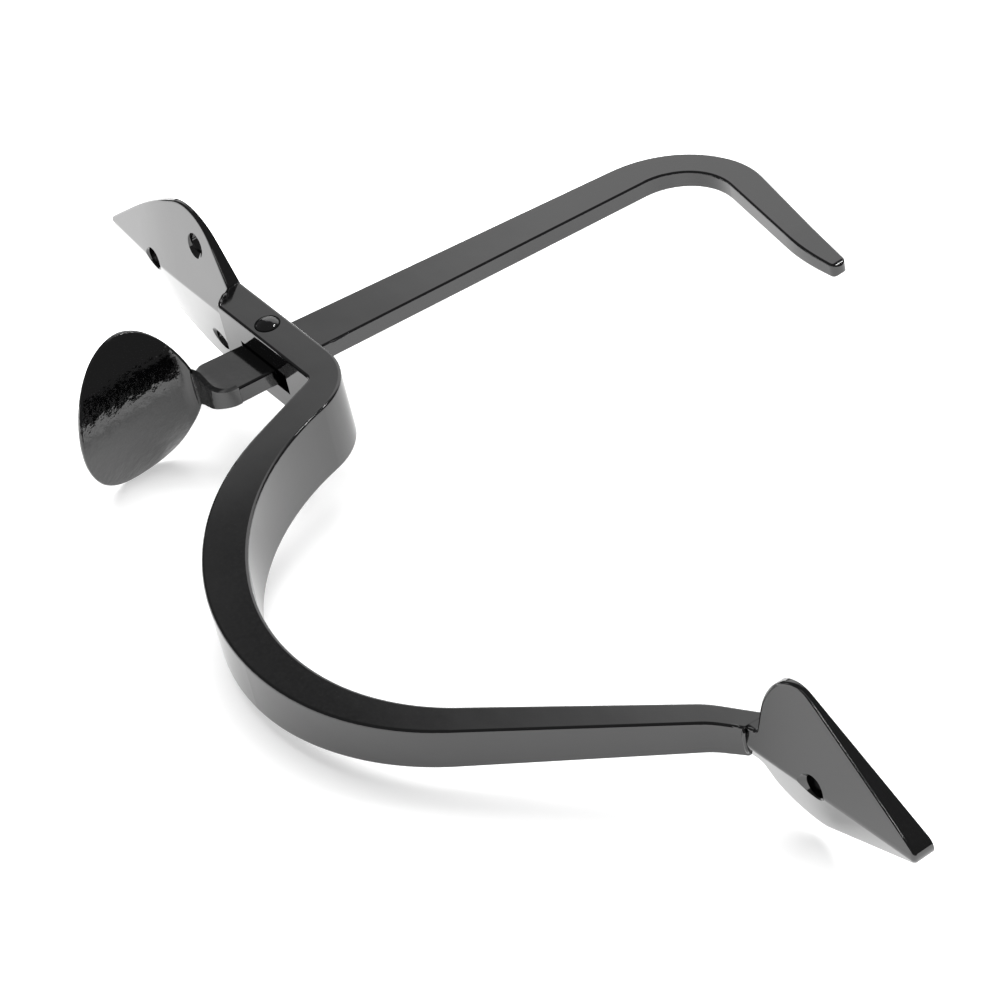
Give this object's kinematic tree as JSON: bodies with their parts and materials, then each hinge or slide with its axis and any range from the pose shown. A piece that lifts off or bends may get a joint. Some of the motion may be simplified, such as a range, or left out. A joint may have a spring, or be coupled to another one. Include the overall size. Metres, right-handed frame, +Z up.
{
  "type": "thumb latch handle",
  "caption": "Forged thumb latch handle: bowed grip strap between two ridged screw leaves, with a pivoting lever that ends in a thumb pad and a downward hook.",
  "frame": {"origin": "axis of the top screw hole at the door's face", "axes": "+Z up the door, +Y through the door to its inside, +X across the door; the handle is symmetric about X = 0"},
  "size_m": [0.0406, 0.1619, 0.2696],
  "materials": {
    "black_iron": "gloss black over forged iron",
    "black_pad": "gloss black over hammered iron"
  },
  "bodies": {
    "handle": {"grip_strap": "black_iron", "top_leaf_plate": "black_iron", "bottom_leaf_plate": "black_iron", "pivot_rivet": "black_iron"},
    "lever": {"thumb_lever": "black_iron", "thumb_pad": "black_pad"}
  },
  "joints": [
    {"name": "thumb_press", "type": "hinge", "parent": "handle", "child": "lever", "pos_m": [0, -0.0039, -0.048], "axis": [1, 0, 0], "range_deg": [0, 14]}
  ]
}
